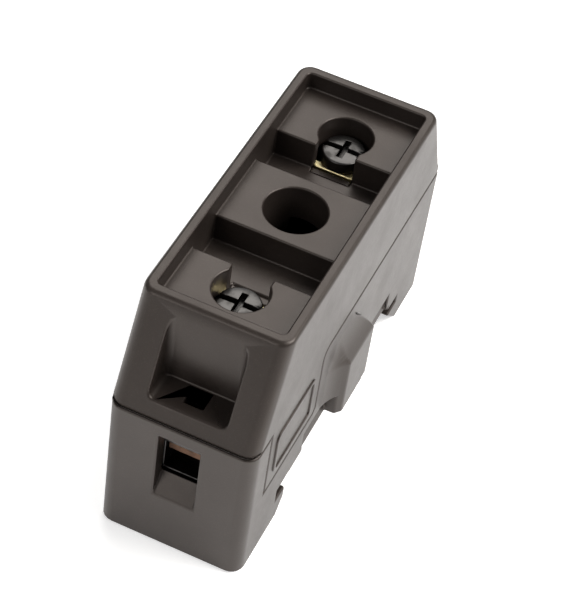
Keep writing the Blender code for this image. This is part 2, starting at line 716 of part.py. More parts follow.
def build_barrel():
    reach = LINK_BODY_LENGTH / 2.0 - CAP_END_WALL
    barrel = lengthwise_cylinder("fuse_barrel", -reach, reach, LINK_AXIS_Z, BARREL_DIAMETER / 2.0)
    bore = lengthwise_cylinder("bore", -reach - OVERCUT, reach + OVERCUT, LINK_AXIS_Z, BARREL_BORE / 2.0)
    cut(barrel, bore)
    neck_start = LINK_BODY_LENGTH / 2.0 - CAP_LENGTH - FIT_GAP
    for side in (-1, 1):
        low, high = span(side, neck_start, reach + OVERCUT)
        sleeve = lengthwise_cylinder("sleeve", low, high, LINK_AXIS_Z, BARREL_DIAMETER)
        core_low, core_high = span(side, neck_start - OVERCUT, reach + 2.0 * OVERCUT)
        core = lengthwise_cylinder("core", core_low, core_high, LINK_AXIS_Z, BARREL_DIAMETER / 2.0 - BARREL_NECK_DEPTH)
        cut(sleeve, core)
        cut(barrel, sleeve)
    return finish(barrel, "ceramic")


def build_element():
    half_length = LINK_BODY_LENGTH / 2.0 - ELEMENT_INSET
    half_width = ELEMENT_WIDTH / 2.0
    half_depth = ELEMENT_THICKNESS / 2.0
    element = box("fuse_element", (-half_width, -half_length, LINK_AXIS_Z - half_depth),
                  (half_width, half_length, LINK_AXIS_Z + half_depth))
    for index in range(-2, 3):
        for hand in (-1, 1):
            notch = upright_cylinder("notch", hand * half_width, index * ELEMENT_NOTCH_PITCH,
                                     LINK_AXIS_Z - OVERCUT, LINK_AXIS_Z + OVERCUT,
                                     ELEMENT_NOTCH_RADIUS, segments=16)
            cut(element, notch)
    return finish(element, "silver")


def build_cap(side):
    name = "fuse_cap_" + END_NAMES[side]
    inner = LINK_BODY_LENGTH / 2.0 - CAP_LENGTH
    outer = LINK_BODY_LENGTH / 2.0
    low, high = span(side, inner, outer)
    cap = lengthwise_cylinder(name, low, high, LINK_AXIS_Z, CAP_DIAMETER / 2.0)
    round_edges(cap, CAP_EDGE, 2, lambda a, b: min(abs(a.y), abs(b.y)) > outer - 0.0001)
    hollow_end = outer - CAP_END_WALL + FIT_GAP / 2.0
    hollow_low, hollow_high = span(side, inner - OVERCUT, hollow_end)
    radius = BARREL_DIAMETER / 2.0 - BARREL_NECK_DEPTH + FIT_GAP / 2.0
    cut(cap, lengthwise_cylinder("hollow", hollow_low, hollow_high, LINK_AXIS_Z, radius))
    return finish(cap, "tinned_copper")


def build_tag(side):
    """The offset tag: a foot on the cap's end face and a slotted blade level with the top of the cap."""
    name = "fuse_tag_" + END_NAMES[side]
    root = LINK_BODY_LENGTH / 2.0 + FIT_GAP / 2.0
    end = LINK_OVERALL_LENGTH / 2.0
    foot_low = LINK_AXIS_Z - TAG_FOOT_DROP
    outline = [
        (side * root, foot_low),
        (side * (root + TAG_THICKNESS), foot_low),
        (side * (root + TAG_THICKNESS), TAG_BOTTOM),
        (side * end, TAG_BOTTOM),
        (side * end, TAG_TOP),
        (side * root, TAG_TOP),
    ]
    tag = side_profile(name, outline, -TAG_WIDTH / 2.0, TAG_WIDTH / 2.0)
    radius = FUSE_SCREW_SHANK / 2.0 + SHANK_CLEARANCE
    cut(tag, upright_cylinder("hole", 0.0, side * SCREW_Y, TAG_BOTTOM - OVERCUT, TAG_TOP + OVERCUT, radius))
    low, high = span(side, SCREW_Y, end + OVERCUT)
    cut(tag, box("slot", (-radius * 0.98, low, TAG_BOTTOM - OVERCUT), (radius * 0.98, high, TAG_TOP + OVERCUT)))
    return finish(tag, "tinned_copper")


def build_contact_block(side):
    """The carrier's contact: a block under the fuse screw and a blade down into the base's jaw."""
    name = "carrier_contact_" + END_NAMES[side]
    outline = [
        (side * BLOCK_INNER, BLOCK_BOTTOM),
        (side * BLADE_INNER, BLOCK_BOTTOM),
        (side * BLADE_INNER, BLADE_BOTTOM + BLADE_POINT),
        (side * (BLADE_INNER + BLADE_POINT), BLADE_BOTTOM),
        (side * (BLADE_OUTER - BLADE_POINT), BLADE_BOTTOM),
        (side * BLADE_OUTER, BLADE_BOTTOM + BLADE_POINT),
        (side * BLADE_OUTER, BLOCK_TOP),
        (side * BLOCK_INNER, BLOCK_TOP),
    ]
    half = BLOCK_WIDTH / 2.0
    block = side_profile(name, outline, -half, half)
    trim_low, trim_high = span(side, BLADE_INNER - OVERCUT, BLADE_OUTER + OVERCUT)
    for hand in (-1, 1):
        low_x, high_x = sorted((hand * BLADE_WIDTH / 2.0, hand * (half + OVERCUT)))
        cut(block, box("trim", (low_x, trim_low, BLADE_BOTTOM - OVERCUT), (high_x, trim_high, BLOCK_BOTTOM)))
    radius = FUSE_SCREW_SHANK / 2.0 + SHANK_CLEARANCE
    bore = upright_cylinder("bore", 0.0, side * SCREW_Y, BLOCK_BOTTOM - OVERCUT, BLOCK_TOP + OVERCUT, radius)
    cut(block, bore)
    soften(block, 0.15 * MM, segments=1, angle=60.0)
    return finish(block, "brass")


def slotted_screw(name, y, shank_radius, shank_low, head_low, head_high, head_radius, finish_name):
    """A cheese-head screw standing on its axis, with a crowned head and a driver slot along X."""
    profile = [
        (0.0, shank_low),
        (shank_radius - SCREW_POINT, shank_low),
        (shank_radius, shank_low + SCREW_POINT),
        (shank_radius, head_low),
        (head_radius, head_low),
        (head_radius, head_high - HEAD_CROWN),
        (head_radius - HEAD_EDGE, head_high - 0.5 * HEAD_CROWN),
        (head_radius * 0.6, head_high - 0.1 * HEAD_CROWN),
        (0.0, head_high),
    ]
    segments = 36
    bm = bmesh.new()
    bottom = bm.verts.new((0.0, y, profile[0][1]))
    top = bm.verts.new((0.0, y, profile[-1][1]))
    rings = []
    for radius, level in profile[1:-1]:
        ring = []
        for index in range(segments):
            turn = 2.0 * math.pi * index / segments
            ring.append(bm.verts.new((radius * math.cos(turn), y + radius * math.sin(turn), level)))
        rings.append(ring)
    for index in range(segments):
        after = (index + 1) % segments
        bm.faces.new((bottom, rings[0][after], rings[0][index]))
        bm.faces.new((top, rings[-1][index], rings[-1][after]))
        for lower, upper in zip(rings, rings[1:]):
            bm.faces.new((lower[index], lower[after], upper[after], upper[index]))
    screw = solid_from_bmesh(name, bm)
    slot_half = DRIVER_SLOT_WIDTH / 2.0
    depth = 0.55 * (head_high - head_low)
    reach = head_radius + OVERCUT
    slot = box("slot", (-reach, y - slot_half, head_high - depth), (reach, y + slot_half, head_high + OVERCUT))
    cut(screw, slot)
    cut(screw, box("cross", (-slot_half, y - head_radius * 0.62, head_high - depth * 1.1),
                   (slot_half, y + head_radius * 0.62, head_high + OVERCUT)))
    finish(screw, finish_name)
    return set_origin(screw, (0.0, y, head_low))


def build_fuse_screw(side):
    low = NUT_TOP - NUT_HEIGHT + SCREW_TIP_GAP
    head_low = BLOCK_TOP + FIT_GAP / 2.0
    return slotted_screw("fuse_screw_" + END_NAMES[side], side * SCREW_Y, FUSE_SCREW_SHANK / 2.0, low,
                         head_low, head_low + FUSE_HEAD_HEIGHT, FUSE_SCREW_HEAD / 2.0, "dark_steel")


def build_fuse_nut(side):
    half = NUT_SIZE / 2.0
    y = side * SCREW_Y
    low = NUT_TOP - NUT_HEIGHT
    nut = box("fuse_nut_" + END_NAMES[side], (-half, y - half, low), (half, y + half, NUT_TOP))
    round_edges(nut, 0.5 * MM, 1, is_upright)
    bore = upright_cylinder("bore", 0.0, y, NUT_TOP - NUT_HEIGHT - OVERCUT, NUT_TOP + OVERCUT,
                            FUSE_SCREW_SHANK / 2.0 + THREAD_CLEARANCE)
    cut(nut, bore)
    return finish(nut, "zinc_steel")


def build_jaw(side):
    """The base's contact: two leaves either side of the blade, and a strip out to the wire clamp."""
    name = "base_contact_" + END_NAMES[side]
    inner = INNER_LEAF_FACE - LEAF_THICKNESS
    floor = BASE_FLOOR_TOP + FIT_GAP
    outline = [
        (side * inner, floor),
        (side * JAW_OUTER, floor),
        (side * JAW_OUTER, OUTER_LEAF_TOP),
        (side * (OUTER_LEAF_FACE + LEAD_IN), OUTER_LEAF_TOP),
        (side * OUTER_LEAF_FACE, OUTER_LEAF_TOP - LEAD_IN_HEIGHT),
        (side * OUTER_LEAF_FACE, floor + LEAF_THICKNESS),
        (side * INNER_LEAF_FACE, floor + LEAF_THICKNESS),
        (side * INNER_LEAF_FACE, INNER_LEAF_TOP - LEAD_IN_HEIGHT),
        (side * (INNER_LEAF_FACE - LEAD_IN), INNER_LEAF_TOP),
        (side * inner, INNER_LEAF_TOP),
    ]
    jaw = side_profile(name, outline, -JAW_WIDTH / 2.0, JAW_WIDTH / 2.0)
    strip = end_box("strip", side, STRIP_WIDTH / 2.0, JAW_OUTER - ROOT, CHAMBER_END - 3.0 * FIT_GAP,
                    STRIP_BOTTOM, STRIP_TOP)
    join(jaw, strip)
    return finish(jaw, "copper")


def build_jaw_spring(side):
    """The steel band that presses the two leaves of a jaw together."""
    name = "jaw_spring_" + END_NAMES[side]
    grow = BAND_GAP + BAND_THICKNESS
    low_y, high_y = span(side, INNER_LEAF_FACE - LEAF_THICKNESS - grow, JAW_OUTER + grow)
    half = JAW_WIDTH / 2.0 + grow
    top = BAND_BOTTOM + BAND_HEIGHT
    band = box(name, (-half, low_y, BAND_BOTTOM), (half, high_y, top))
    round_edges(band, BAND_THICKNESS, 2, is_upright)
    cut(band, box("inside", (-half + BAND_THICKNESS, low_y + BAND_THICKNESS, BAND_BOTTOM - OVERCUT),
                  (half - BAND_THICKNESS, high_y - BAND_THICKNESS, top + OVERCUT)))
    return finish(band, "spring_steel")


def build_cage(side):
    """The rising clamp: a frame whose tapped top climbs the screw and lifts its floor against the strip."""
    name = "clamp_cage_" + END_NAMES[side]
    half = CAGE_WIDTH / 2.0
    low_y, high_y = span(side, CLAMP_Y - CAGE_LENGTH / 2.0, CLAMP_Y + CAGE_LENGTH / 2.0)
    top = CAGE_PLATE_BOTTOM + CAGE_TOP_THICKNESS
    cage = box(name, (-half, low_y, CAGE_BOTTOM), (half, high_y, top))
    round_edges(cage, CAGE_CORNER, 2, lambda a, b: abs(a.y - b.y) > MM)
    cut(cage, box("window", (-half + CAGE_WALL, low_y - OVERCUT, CAGE_BOTTOM + CAGE_WALL),
                  (half - CAGE_WALL, high_y + OVERCUT, CAGE_PLATE_BOTTOM)))
    cut(cage, upright_cylinder("tapping", 0.0, side * CLAMP_Y, STRIP_TOP, top + OVERCUT,
                               CLAMP_SCREW_SHANK / 2.0 + THREAD_CLEARANCE))
    return finish(cage, "dark_steel")


def build_clamp_screw(side):
    return slotted_screw("clamp_screw_" + END_NAMES[side], side * CLAMP_Y, CLAMP_SCREW_SHANK / 2.0,
                         STRIP_TOP + SCREW_TIP_GAP, CLAMP_HEAD_BOTTOM, CLAMP_HEAD_BOTTOM + CLAMP_HEAD_HEIGHT,
                         CLAMP_SCREW_HEAD / 2.0, "dark_steel")


def build_rail_clip():
    """The sprung slider under the base: a nose that hooks the rail, and a neck through the far foot."""
    nose_end = CLIP_NOSE_TIP + CLIP_NOSE_LENGTH
    step = RAIL_FAR_EDGE + CLIP_STEP_GAP
    nose_outline = [
        (step, RAIL_CEILING - FIT_GAP),
        (step, CLIP_TOP),
        (CLIP_NOSE_TIP, CLIP_TOP),
        (CLIP_NOSE_TIP, CLIP_TOP - CLIP_NOSE_EDGE),
        (CLIP_NOSE_TIP + CLIP_NOSE_RAKE, CLIP_BOTTOM - CLIP_NOSE_DROP),
        (nose_end, CLIP_BOTTOM - CLIP_NOSE_DROP),
        (nose_end, RAIL_CEILING - FIT_GAP),
    ]
    half = CLIP_NOSE_HALF_WIDTH
    clip = side_profile("rail_clip", nose_outline, -half, half)
    neck = box("neck", (-CLIP_HALF_WIDTH, nose_end - ROOT, CLIP_BOTTOM),
               (CLIP_HALF_WIDTH, HALF_LENGTH - CLIP_TONGUE_INSET, CLIP_TOP))
    join(clip, neck)
    lug_half = SPRING_RADIUS + SPRING_WIRE
    lug_top = SPRING_HEIGHT + lug_half * 0.8
    post = box("post", (-lug_half, SPRING_START - POST_LENGTH, CLIP_TOP - ROOT),
               (lug_half, SPRING_START - FIT_GAP, lug_top))
    join(clip, post)
    slot_end = HALF_LENGTH - CLIP_SLOT_INSET
    slot = box("slot", (-CLIP_SLOT_WIDTH / 2.0, slot_end - CLIP_SLOT_LENGTH, CLIP_BOTTOM - OVERCUT),
               (CLIP_SLOT_WIDTH / 2.0, slot_end, CLIP_TOP - CLIP_NOSE_EDGE))
    cut(clip, slot)
    soften(clip, 0.25 * MM, segments=1, angle=50.0)
    return finish(clip, "clip_nylon")


def build_clip_spring():
    """A coil spring along Y between the clip's post and the end of its pocket."""
    start = SPRING_START + SPRING_WIRE
    end = SPRING_END - SPRING_WIRE
    per_turn = 14
    total = SPRING_TURNS * per_turn
    ring_count = 7
    pitch = (end - start) / total
    lean = math.atan2(pitch * per_turn, 2.0 * math.pi * SPRING_RADIUS)
    bm = bmesh.new()
    rings = []
    for index in range(total + 1):
        turn = 2.0 * math.pi * index / per_turn
        outward = Vector((math.cos(turn), 0.0, math.sin(turn)))
        centre = Vector((0.0, start + pitch * index, SPRING_HEIGHT)) + outward * SPRING_RADIUS
        along = Vector((-math.sin(turn) * math.cos(lean), math.sin(lean), math.cos(turn) * math.cos(lean)))
        sideways = along.cross(outward)
        ring = []
        for corner in range(ring_count):
            angle = 2.0 * math.pi * corner / ring_count
            point = centre + (outward * math.cos(angle) + sideways * math.sin(angle)) * SPRING_WIRE
            ring.append(bm.verts.new(point))
        rings.append(ring)
    bm.faces.new(rings[0])
    bm.faces.new(list(reversed(rings[-1])))
    for lower, upper in zip(rings, rings[1:]):
        for corner in range(ring_count):
            after = (corner + 1) % ring_count
            bm.faces.new((lower[corner], upper[corner], upper[after], lower[after]))
    return finish(solid_from_bmesh("clip_spring", bm), "spring_steel", smooth_angle=70.0)


def build_all():
    build_base()
    build_carrier()
    build_barrel()
    build_element()
    for side in (-1, 1):
        build_cap(side)
        build_tag(side)
        build_contact_block(side)
        build_fuse_screw(side)
        build_fuse_nut(side)
        build_jaw(side)
        build_jaw_spring(side)
        build_cage(side)
        build_clamp_screw(side)
    build_rail_clip()
    build_clip_spring()
    for obj in bpy.data.objects:
        obj.location = obj.location + FRAME_SHIFT


clear_scene()
build_all()
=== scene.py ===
"""Looks of a single-pole cartridge fuse holder: softened mouldings, threaded screws and their finishes."""
import logging
import math
from dataclasses import dataclass, field
from enum import Enum

import bmesh
import bpy
import numpy as np
from mathutils import Matrix, Vector


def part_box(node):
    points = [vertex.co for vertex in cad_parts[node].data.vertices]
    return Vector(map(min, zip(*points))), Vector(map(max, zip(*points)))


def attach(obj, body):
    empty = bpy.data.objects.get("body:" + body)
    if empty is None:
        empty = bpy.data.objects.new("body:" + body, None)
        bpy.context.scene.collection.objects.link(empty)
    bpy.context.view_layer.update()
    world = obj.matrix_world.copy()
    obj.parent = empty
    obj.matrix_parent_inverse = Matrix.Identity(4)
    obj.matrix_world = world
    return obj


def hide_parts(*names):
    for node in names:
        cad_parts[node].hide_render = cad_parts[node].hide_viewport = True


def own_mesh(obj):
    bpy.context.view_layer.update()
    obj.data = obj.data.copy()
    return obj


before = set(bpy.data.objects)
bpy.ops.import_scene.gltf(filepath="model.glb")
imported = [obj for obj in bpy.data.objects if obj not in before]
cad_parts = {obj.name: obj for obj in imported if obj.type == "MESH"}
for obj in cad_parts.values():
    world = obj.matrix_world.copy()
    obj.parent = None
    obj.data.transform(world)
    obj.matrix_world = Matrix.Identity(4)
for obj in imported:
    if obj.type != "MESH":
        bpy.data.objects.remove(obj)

LOG = logging.getLogger("fuse_holder")
MM = 0.001
ENDS = ("near", "far")
CREASE_DEGREES = 50.0
FLAT_DEGREES = 0.6
MERGE_DISTANCE = 0.000002
THREAD_COLUMNS = 40
THREAD_RINGS_PER_TURN = 12
COIL_RINGS_PER_TURN = 28
COIL_SIDES = 14
CORNER_POINTS = 8
Colour = tuple[float, float, float]
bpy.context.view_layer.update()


# ---------------------------------------------------------------- shader arithmetic


class Value:
    """A number socket that takes part in Python arithmetic, adding one Math node for each step."""

    def __init__(self, graph: "Graph", socket: bpy.types.NodeSocket) -> None:
        """Wraps a socket of a graph.

        Args:
            graph: The graph that new nodes go into.
            socket: The output socket that carries the number.
        """
        self.graph = graph
        self.socket = socket

    def _math(self, operation: str, first: "Value | float", second: "Value | float") -> "Value":
        """Adds a Math node.

        Args:
            operation: The Math node's operation.
            first: The first operand.
            second: The second operand.

        Returns:
            The node's result as a Value.
        """
        made = self.graph.node("ShaderNodeMath", {"operation": operation}, {0: first, 1: second})
        return Value(self.graph, made.outputs[0])

    def __add__(self, other: "Value | float") -> "Value":
        """This value plus another."""
        return self._math("ADD", self, other)

    def __radd__(self, other: float) -> "Value":
        """A number plus this value."""
        return self._math("ADD", other, self)

    def __sub__(self, other: "Value | float") -> "Value":
        """This value less another."""
        return self._math("SUBTRACT", self, other)

    def __mul__(self, other: "Value | float") -> "Value":
        """This value times another."""
        return self._math("MULTIPLY", self, other)

    def __rmul__(self, other: float) -> "Value":
        """A number times this value."""
        return self._math("MULTIPLY", other, self)

    def above(self, edge: float, width: float) -> "Value":
        """A soft step.

        Args:
            edge: Where the step starts.
            width: How far it takes to rise from 0 to 1.

        Returns:
            0 below the edge, 1 past edge + width, and a smooth rise between.
        """
        settings = {"interpolation_type": "SMOOTHSTEP"}
        made = self.graph.node("ShaderNodeMapRange", settings, {0: self, 1: edge, 2: edge + width})
        return Value(self.graph, made.outputs[0])


class Graph:
    """The node tree of one new material, with its Principled shader in place."""

    def __init__(self, name: str) -> None:
        """Makes an empty material.

        Args:
            name: The material's name.
        """
        self.material = bpy.data.materials.new(name)
        self.material.use_nodes = True
        self.tree = self.material.node_tree
        self.shader = self.tree.nodes["Principled BSDF"]
        self.place = self.node("ShaderNodeTexCoord").outputs["Object"]

    def node(self, kind: str, settings: dict | None = None, sockets: dict | None = None) -> bpy.types.Node:
        """Adds any node.

        Args:
            kind: The node's type name.
            settings: Properties that are set first.
            sockets: Input name or number to a Value, a socket or a plain value.

        Returns:
            The new node.
        """
        made = self.tree.nodes.new(kind)
        for key, value in (settings or {}).items():
            setattr(made, key, value)
        for key, value in (sockets or {}).items():
            self.feed(made.inputs[key], value)
        return made

    def feed(self, target: bpy.types.NodeSocket, value: object) -> None:
        """Links a Value or a socket into an input, or sets the input's own value."""
        if isinstance(value, Value):
            self.tree.links.new(value.socket, target)
        elif isinstance(value, bpy.types.NodeSocket):
            self.tree.links.new(value, target)
        elif target.type == "RGBA" and len(value) == 3:
            target.default_value = (*value, 1.0)
        else:
            target.default_value = value

    def stretched(self, scale: tuple[float, float, float]) -> bpy.types.NodeSocket:
        """Object coordinates scaled by a factor on each axis."""
        return self.node("ShaderNodeMapping", None, {"Vector": self.place, "Scale": scale}).outputs[0]

    def noise(self, per_metre: float, detail: float = 3.0, rough: float = 0.55,
              at: bpy.types.NodeSocket | None = None) -> Value:
        """Fractal noise of the position.

        Args:
            per_metre: Features in each metre.
            detail: The number of finer layers.
            rough: How strong the finer layers are.
            at: Where the noise is read, or None for the object's own coordinates.

        Returns:
            The noise, about 0.5 on average.
        """
        sockets = {"Vector": at or self.place, "Scale": per_metre, "Detail": detail, "Roughness": rough}
        return Value(self, self.node("ShaderNodeTexNoise", None, sockets).outputs["Fac"])

    def cells(self, per_metre: float) -> Value:
        """The distance to the nearest of many scattered points, 0 at each point."""
        made = self.node("ShaderNodeTexVoronoi", None, {"Vector": self.place, "Scale": per_metre})
        return Value(self, made.outputs["Distance"])

    def blend(self, factor: Value, first: object, second: object) -> bpy.types.NodeSocket:
        """Mixes two colours.

        Args:
            factor: 0 gives the first, 1 the second.
            first: A colour or a colour socket.
            second: A colour or a colour socket.

        Returns:
            The mixed colour's socket.
        """
        made = self.node("ShaderNodeMix", {"data_type": "RGBA"}, {0: factor, 6: first, 7: second})
        return made.outputs[2]

    def bump(self, height: Value, depth_mm: float) -> None:
        """Feeds a height pattern to the shader's normal.

        Args:
            height: The pattern, from 0 to 1.
            depth_mm: How deep a full step of the pattern is.
        """
        sockets = {"Strength": 1.0, "Distance": depth_mm * MM, "Height": height}
        made = self.node("ShaderNodeBump", None, sockets)
        self.feed(self.shader.inputs["Normal"], made.outputs[0])

    def set(self, **values: object) -> None:
        """Sets or links the shader's sockets, written with underscores for spaces."""
        for key, value in values.items():
            self.feed(self.shader.inputs[key.replace("_", " ")], value)


# ---------------------------------------------------------------- finishes


class Grain(Enum):
    """Which way the fine lines of a metal run."""

    ACROSS = (0.06, 1.0, 1.0)
    ALONG = (1.0, 0.06, 1.0)
    UPRIGHT = (1.0, 1.0, 0.06)
    EVEN = (1.0, 1.0, 1.0)


@dataclass(frozen=True)
class Moulded:
    """A filled thermoset or nylon: dark, mottled by its filler, with the fine grain of its mould."""

    name: str
    colour: Colour
    fleck: Colour
    roughness: float
    grain_mm: float = 0.010
    worn: float = 0.0
    tint: Colour = (1.0, 1.0, 1.0)

    def build(self) -> bpy.types.Material:
        """Makes the material.

        Returns:
            A material with filler flecks, cloudy sheen and mould grain.
        """
        graph = Graph(self.name)
        cloud = graph.noise(120.0, 3.0)
        fleck = graph.noise(4200.0, 2.0, 0.7).above(0.57, 0.14)
        swirl = graph.noise(900.0, 4.0, 0.6)
        handled = graph.noise(75.0, 2.0).above(0.45, 0.3)
        tone = graph.blend(fleck * 0.5 + swirl * 0.2, self.colour, self.fleck)
        deep = tuple(channel * 0.80 for channel in self.colour)
        graph.set(Base_Color=graph.blend(cloud.above(0.35, 0.35) * 0.4, tone, deep))
        sheen = self.roughness - 0.5 * self.worn + 0.08 * (swirl - 0.5) + self.worn * handled
        graph.set(Roughness=sheen + 0.07 * (cloud - 0.5))
        graph.set(Specular_IOR_Level=0.5, Specular_Tint=self.tint)
        fine = graph.noise(3400.0, 3.0, 0.65)
        graph.bump(fine * 0.8 + swirl * 0.35 + cloud * 0.25, self.grain_mm)
        return graph.material


@dataclass(frozen=True)
class Metal:
    """A plated or bare metal, with drawn or machined lines, dull patches and small scratches."""

    name: str
    colour: Colour
    dulled: Colour
    roughness: float
    grain: Grain = Grain.EVEN
    line_mm: float = 0.006

    def build(self) -> bpy.types.Material:
        """Makes the material.

        Returns:
            A metal with lines along its grain and dulled patches.
        """
        graph = Graph(self.name)
        lines = graph.noise(6500.0, 2.0, 0.6, graph.stretched(self.grain.value))
        patches = graph.noise(420.0, 4.0, 0.6)
        dull = patches.above(0.46, 0.22)
        graph.set(Base_Color=graph.blend(dull * 0.65 + lines * 0.15, self.colour, self.dulled))
        graph.set(Metallic=1.0)
        graph.set(Roughness=self.roughness + 0.16 * dull + 0.12 * (lines - 0.5))
        pits = graph.cells(2200.0)
        graph.bump(lines * 0.9 + pits.above(0.12, 0.2) * 0.4, self.line_mm)
        return graph.material


@dataclass(frozen=True)
class Ceramic:
    """A white glaze with faint crawl and small dark specks."""

    name: str
    colour: Colour
    shade: Colour

    def build(self) -> bpy.types.Material:
        """Makes the material.

        Returns:
            A glossy material, shaded in soft clouds.
        """
        graph = Graph(self.name)
        cloud = graph.noise(230.0, 3.0)
        speck = graph.noise(5200.0, 1.0, 0.4).above(0.70, 0.05)
        glaze = graph.blend(cloud.above(0.4, 0.3) * 0.5, self.colour, self.shade)
        graph.set(Base_Color=graph.blend(speck * 0.55, glaze, (0.30, 0.27, 0.22)))
        graph.set(Roughness=0.22 + 0.12 * cloud, Coat_Weight=0.35 * cloud)
        graph.bump(graph.noise(520.0, 2.0), 0.02)
        return graph.material


class Finish(Enum):
    """Every finish on the holder, each named for the record's material slot that it stands for."""

    black_thermoset = Moulded("black_thermoset_look", (0.0185, 0.0140, 0.0120), (0.050, 0.040, 0.034), 0.41,
                              worn=0.04, tint=(1.0, 0.90, 0.84))
    clip_nylon = Moulded("clip_nylon_look", (0.016, 0.016, 0.017), (0.030, 0.030, 0.031), 0.46, 0.008)
    brass = Metal("brass_look", (0.92, 0.80, 0.46), (0.74, 0.60, 0.30), 0.34, Grain.ACROSS, 0.003)
    # Painted shade: this copper is far darker than bare copper, so that the base contacts seen down the wire
    # entries look as dark as the shade inside them.
    copper = Metal("copper_look", (0.13, 0.075, 0.05), (0.06, 0.04, 0.03), 0.46, Grain.ALONG)
    tinned_copper = Metal("tinned_copper_look", (0.78, 0.76, 0.72), (0.58, 0.55, 0.50), 0.30, Grain.ALONG)
    zinc_steel = Metal("zinc_steel_look", (0.72, 0.73, 0.74), (0.52, 0.52, 0.50), 0.26)
    dark_steel = Metal("dark_steel_look", (0.085, 0.082, 0.08), (0.04, 0.038, 0.036), 0.30, Grain.ACROSS)
    spring_steel = Metal("spring_steel_look", (0.50, 0.51, 0.53), (0.33, 0.33, 0.34), 0.24, Grain.UPRIGHT)
    ceramic = Ceramic("ceramic_look", (0.80, 0.78, 0.72), (0.68, 0.65, 0.58))
    silver = Metal("silver_look", (0.90, 0.89, 0.87), (0.70, 0.68, 0.64), 0.20, Grain.ALONG)

    def material(self) -> bpy.types.Material:
        """The finish's material, made the first time it is asked for."""
        found = bpy.data.materials.get(self.value.name)
        return found or self.value.build()


# ---------------------------------------------------------------- meshes


def add_object(name: str, mesh: bpy.types.Mesh) -> bpy.types.Object:
    """Links a mesh into the scene as an object at the origin.

    Args:
        name: The object's name.
        mesh: Its mesh, already in place.

    Returns:
        The new object.
    """
    made = bpy.data.objects.new(name, mesh)
    bpy.context.scene.collection.objects.link(made)
    return made


def grid_faces(rows: int, columns: int, offset: int = 0) -> np.ndarray:
    """Quads between the points of a grid whose columns close on themselves.

    Args:
        rows: The number of rings.
        columns: The number of points in each ring.
        offset: The number of the grid's first point.

    Returns:
        One row of four point numbers for each quad.
    """
    row, column = np.meshgrid(np.arange(rows - 1), np.arange(columns), indexing="ij")
    here = row * columns + column
    beside = row * columns + (column + 1) % columns
    quads = np.stack([here, beside, beside + columns, here + columns], axis=-1)
    return quads.reshape(-1, 4) + offset


def skin(name: str, rings: np.ndarray, looped: bool = False) -> bpy.types.Mesh:
    """A closed mesh over a stack of rings: its last ring joins its first, or each end ring has a middle point.

    Args:
        name: The mesh's name.
        rings: Points as rows by columns by 3.
        looped: True to join the last ring to the first.

    Returns:
        The mesh, smooth, with its faces outwards.
    """
    rows, columns, _ = rings.shape
    points = rings.reshape(-1, 3)
    turn = np.arange(columns)
    after = (turn + 1) % columns
    last_row = (rows - 1) * columns
    if looped:
        closing = np.stack([turn + last_row, after + last_row, after, turn], axis=1).tolist()
    else:
        points = np.concatenate([points, [rings[0].mean(axis=0), rings[-1].mean(axis=0)]])
        first = np.stack([after, turn, np.full(columns, rows * columns)], axis=1)
        last = np.stack([turn + last_row, after + last_row, np.full(columns, rows * columns + 1)], axis=1)
        closing = first.tolist() + last.tolist()
    mesh = bpy.data.meshes.new(name)
    mesh.from_pydata(points.tolist(), [], grid_faces(rows, columns).tolist() + closing)
    bm = bmesh.new()
    bm.from_mesh(mesh)
    bmesh.ops.recalc_face_normals(bm, faces=bm.faces)
    bm.to_mesh(mesh)
    bm.free()
    mesh.shade_smooth()
    mesh.set_sharp_from_angle(angle=math.radians(CREASE_DEGREES))
    return mesh


def turned(name: str, profile: list[tuple[float, float]], centre: Vector, axis: str,
           columns: int = 96, looped: bool = False) -> bpy.types.Mesh:
    """A turned form: each profile point (radius, distance) makes a ring about an axis through centre.

    Args:
        name: The mesh's name.
        profile: Radius and distance along the axis, in metres, from one end to the other.
        centre: A point on the axis, from which distance is measured.
        axis: "Y" or "Z".
        columns: The number of points round each ring.
        looped: True for a profile that closes on itself round a bore.

    Returns:
        The closed mesh.
    """
    radius, along = np.array(profile).T
    angle = np.linspace(0.0, 2.0 * math.pi, columns, endpoint=False)
    wide = radius[:, None] * np.cos(angle)
    high = radius[:, None] * np.sin(angle)
    reach = np.repeat(along[:, None], columns, axis=1)
    parts = [wide, reach, high] if axis == "Y" else [wide, high, reach]
    return skin(name, np.stack(parts, axis=-1) + np.array(centre), looped)


def raised_frame(name: str, centre: Vector, half_length: float, half_height: float,
                 side: float) -> bpy.types.Mesh:
    """A raised band round a rounded rectangle on a wall square to X.

    The band's middle line is a quarter circle about each corner's centre, joined by straight runs. Its section
    is a low bar with broken edges, moved out along the corner's radius and up off the wall.

    Args:
        name: The mesh's name.
        centre: The rectangle's middle, on the wall.
        half_length: Half its length along Y.
        half_height: Half its height.
        side: 1 for a wall that faces +X, -1 for one that faces -X.

    Returns:
        The closed mesh.
    """
    corner, band, rise, root, edge = 1.2 * MM, 0.45 * MM, 0.28 * MM, 0.12 * MM, 0.12 * MM
    quarter = np.linspace(0.0, math.pi / 2.0, CORNER_POINTS)
    turn = (np.arange(4)[:, None] * math.pi / 2.0 + quarter[None, :]).ravel()
    along = np.repeat([1.0, -1.0, -1.0, 1.0], CORNER_POINTS) * (half_length - corner)
    up = np.repeat([1.0, 1.0, -1.0, -1.0], CORNER_POINTS) * (half_height - corner)
    out = np.array([-band, -band, -band + edge, band - edge, band, band])
    lift = np.array([-root, rise - edge, rise, rise, rise - edge, -root])
    y = along[:, None] + (corner + out[None, :]) * np.cos(turn)[:, None]
    z = up[:, None] + (corner + out[None, :]) * np.sin(turn)[:, None]
    x = np.repeat(side * lift[None, :], len(turn), axis=0)
    return skin(name, np.stack([x, y, z], axis=-1) + np.array(centre), looped=True)


